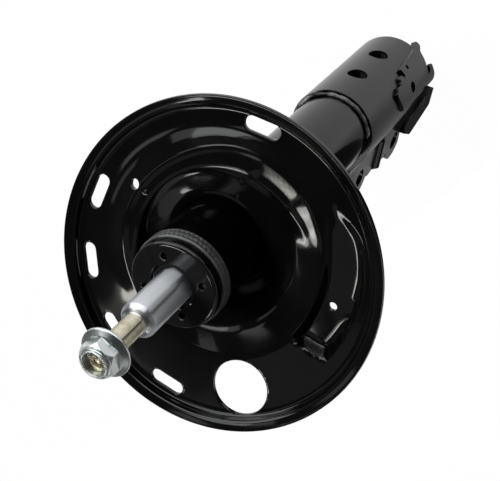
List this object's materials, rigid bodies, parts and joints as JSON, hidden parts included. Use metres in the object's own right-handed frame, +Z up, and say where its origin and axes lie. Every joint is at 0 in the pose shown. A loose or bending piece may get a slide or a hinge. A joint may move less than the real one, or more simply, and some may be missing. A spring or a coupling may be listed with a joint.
{
  "type": "suspension strut assembly",
  "caption": "Twin-tube suspension strut with a tilted pressed spring seat, chromed sliding rod with flange nut, two-bolt knuckle bracket and a hose bracket.",
  "frame": {"origin": "on the axis of the lower knuckle bolt holes, midway between the bracket's two ears", "axes": "+Z up along the strut axis towards the rod's free end, +Y along the knuckle bolts, +X outboard from the strut axis to the bolts"},
  "size_m": [0.1833, 0.188, 0.4083],
  "materials": {
    "black_paint": "gloss black stove enamel",
    "chromed_rod": "polished chrome",
    "zinc_nut": "bright zinc plate",
    "plain_steel": "machined, oily",
    "sintered_iron": "sintered, matte grey",
    "bushing_bronze": "bronze with a dark sliding face",
    "seal_rubber": "matte black",
    "ring_plastic": "filled fluoropolymer, matte"
  },
  "bodies": {
    "strut": {"strut_tube": "black_paint", "base_cup": "black_paint", "base_weld": "black_paint", "top_cap": "black_paint", "oil_seal": "seal_rubber", "seal_spring": "plain_steel", "seal_washer": "plain_steel", "reservoir_ring": "seal_rubber", "rod_guide": "sintered_iron", "guide_bushing": "bushing_bronze", "pressure_tube": "plain_steel", "base_valve_body": "sintered_iron", "base_valve_discs": "plain_steel", "base_valve_pin": "plain_steel", "base_check_spring": "plain_steel", "spring_seat": "black_paint", "seat_weld": "black_paint", "knuckle_bracket": "black_paint", "bracket_weld": "black_paint", "hose_bracket": "black_paint"},
    "ring": {"piston_ring": "ring_plastic"},
    "rod": {"piston_rod": "chromed_rod", "flange_nut": "zinc_nut", "rebound_bumper": "seal_rubber", "rebound_stop": "plain_steel", "check_stop_washer": "plain_steel", "piston_check_spring": "plain_steel", "piston": "sintered_iron", "rebound_discs": "plain_steel", "disc_washer": "plain_steel", "piston_nut": "plain_steel"},
    "piston_check": {"piston_check_plate": "plain_steel"},
    "base_check": {"base_check_plate": "plain_steel"}
  },
  "joints": [
    {"name": "rod_slide", "type": "slide", "parent": "strut", "child": "ring", "axis": [0, 0, 1], "range_m": [0, 0.165]},
    {"name": "rod_spin", "type": "hinge", "parent": "ring", "child": "rod", "pos_m": [-0.046, 0, 0.35], "axis": [0, 0, 1], "continuous": true},
    {"name": "piston_check_lift", "type": "slide", "parent": "rod", "child": "piston_check", "axis": [0, 0, 1], "range_m": [0, 0.0008], "stiffness_N_per_m": 300, "springref_m": -0.001},
    {"name": "base_check_lift", "type": "slide", "parent": "strut", "child": "base_check", "axis": [0, 0, 1], "range_m": [0, 0.001], "stiffness_N_per_m": 300, "springref_m": -0.001}
  ]
}
